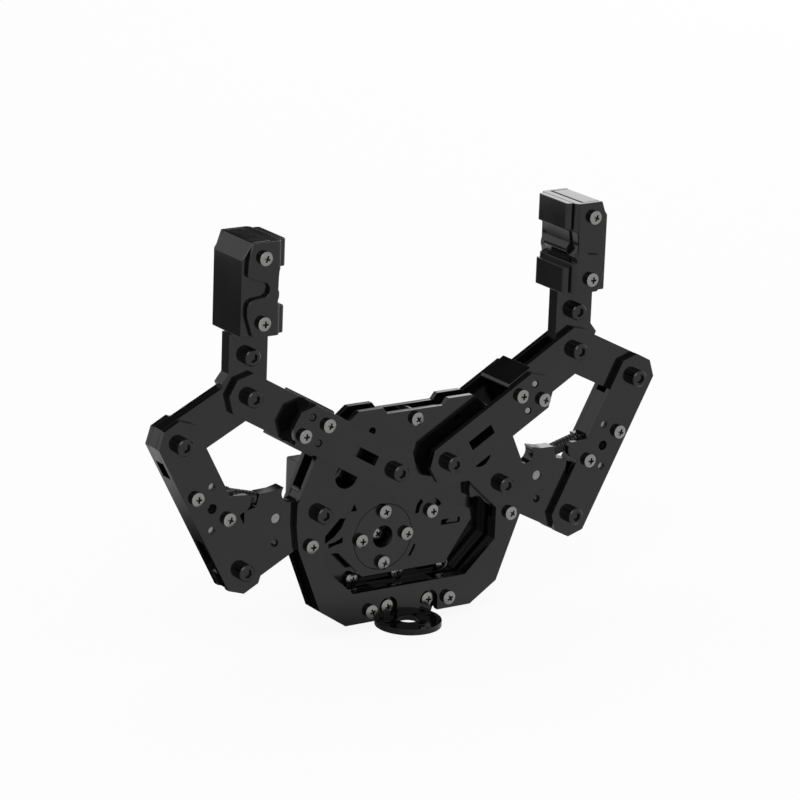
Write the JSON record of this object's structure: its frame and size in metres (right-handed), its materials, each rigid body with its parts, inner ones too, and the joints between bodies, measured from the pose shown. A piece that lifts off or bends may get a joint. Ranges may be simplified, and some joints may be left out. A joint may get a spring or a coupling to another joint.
{
  "type": "two-finger electric gripper",
  "caption": "Plate-built electric parallel gripper: four-bar arms driven by toothed cranks close two padded fingers; a round wrist flange carries it.",
  "frame": {"origin": "centre of the wrist flange's lower face", "axes": "+Z from the wrist to the fingertips, +X to the right finger, -Y to the front plate with the window"},
  "size_m": [0.2354, 0.0607, 0.1697],
  "materials": {
    "black_plate": "gloss black",
    "black_plastic": "gloss black",
    "screw_steel": "bright steel",
    "black_steel": "black oxide",
    "gear_steel": "dark grey",
    "pad_rubber": "matt black",
    "motor_metal": "satin black"
  },
  "bodies": {
    "base": {"front_body_plate": "black_plate", "rear_body_plate": "black_plate", "rim_spacer": "black_plate", "gear_cover": "black_plate", "plate_spacers": "black_plate", "body_screws": "screw_steel", "crank_bolts": "black_steel", "upper_pivot_bolts": "black_steel", "upper_pivot_spacers": "black_steel", "flange_bracket": "black_plate", "wrist_flange": "black_plate", "flange_screws": "screw_steel", "actuator_casing": "black_plastic", "actuator_cover": "black_plastic", "actuator_screws": "screw_steel", "motor_can": "motor_metal", "idler_axle": "screw_steel"},
    "drive": {"drive_gear": "gear_steel", "hub_screws": "screw_steel", "output_horn": "gear_steel"},
    "idler": {"idler_gear": "gear_steel"},
    "right_crank_arm": {"right_crank": "black_plate", "right_outer_link_front": "black_plate", "right_outer_link_rear": "black_plate", "right_outer_link_spacer": "black_plate", "right_outer_link_fasteners": "black_steel", "right_spring": "black_steel"},
    "right_upper_link": {"right_inner_link_front": "black_plate", "right_inner_link_rear": "black_plate", "right_upper_link_front": "black_plate", "right_upper_link_rear": "black_plate", "right_link_block": "black_plate", "right_upper_link_fasteners": "black_steel"},
    "right_finger": {"right_finger_plate": "black_plate", "right_tip_housing": "black_plastic", "right_jaw_clip": "black_plastic", "right_pads": "pad_rubber", "right_grip_insert": "pad_rubber", "right_finger_fasteners": "black_steel"},
    "left_crank_arm": {"left_crank": "black_plate", "left_outer_link_front": "black_plate", "left_outer_link_rear": "black_plate", "left_outer_link_spacer": "black_plate", "left_outer_link_fasteners": "black_steel", "left_spring": "black_steel"},
    "left_upper_link": {"left_inner_link_front": "black_plate", "left_inner_link_rear": "black_plate", "left_upper_link_front": "black_plate", "left_upper_link_rear": "black_plate", "left_link_block": "black_plate", "left_upper_link_fasteners": "black_steel"},
    "left_finger": {"left_finger_plate": "black_plate", "left_tip_housing": "black_plastic", "left_jaw_clip": "black_plastic", "left_pads": "pad_rubber", "left_grip_insert": "pad_rubber", "left_finger_fasteners": "black_steel"}
  },
  "joints": [
    {"name": "right_crank_pivot", "type": "hinge", "parent": "base", "child": "right_crank_arm", "pos_m": [0.0436, 0.0055, 0.0536], "axis": [0, -1, 0], "range_deg": [0, 60.5]},
    {"name": "left_crank_pivot", "type": "hinge", "parent": "base", "child": "left_crank_arm", "pos_m": [-0.0436, 0.0055, 0.0536], "axis": [0, 1, 0], "range_deg": [0, 60.5]},
    {"name": "drive_spin", "type": "hinge", "parent": "base", "child": "drive", "pos_m": [-0.01116, 0.0055, 0.03799], "axis": [0, -1, 0], "range_deg": [0, 101]},
    {"name": "idler_spin", "type": "hinge", "parent": "base", "child": "idler", "pos_m": [0.01154, 0.0055, 0.04577], "axis": [0, 1, 0], "range_deg": [0, 130]},
    {"name": "right_upper_pivot", "type": "hinge", "parent": "base", "child": "right_upper_link", "pos_m": [0.0129, 0.0055, 0.0689], "axis": [0, -1, 0], "range_deg": [0, 60.5]},
    {"name": "left_upper_pivot", "type": "hinge", "parent": "base", "child": "left_upper_link", "pos_m": [-0.0129, 0.0055, 0.0689], "axis": [0, 1, 0], "range_deg": [0, 60.5]},
    {"name": "right_finger_pivot", "type": "hinge", "parent": "right_upper_link", "child": "right_finger", "pos_m": [0.07725, 0.0055, 0.10605], "axis": [0, -1, 0], "range_deg": [-60.5, 0]},
    {"name": "left_finger_pivot", "type": "hinge", "parent": "left_upper_link", "child": "left_finger", "pos_m": [-0.07725, 0.0055, 0.10605], "axis": [0, 1, 0], "range_deg": [-60.5, 0]}
  ],
  "couplings": [
    {"joint": "left_crank_pivot", "follows": "right_crank_pivot", "ratio": 1},
    {"joint": "drive_spin", "follows": "right_crank_pivot", "ratio": 1.6667},
    {"joint": "idler_spin", "follows": "right_crank_pivot", "ratio": 2.1429},
    {"joint": "right_upper_pivot", "follows": "right_crank_pivot", "ratio": 1},
    {"joint": "left_upper_pivot", "follows": "right_crank_pivot", "ratio": 1},
    {"joint": "right_finger_pivot", "follows": "right_crank_pivot", "ratio": -1},
    {"joint": "left_finger_pivot", "follows": "right_crank_pivot", "ratio": -1}
  ]
}
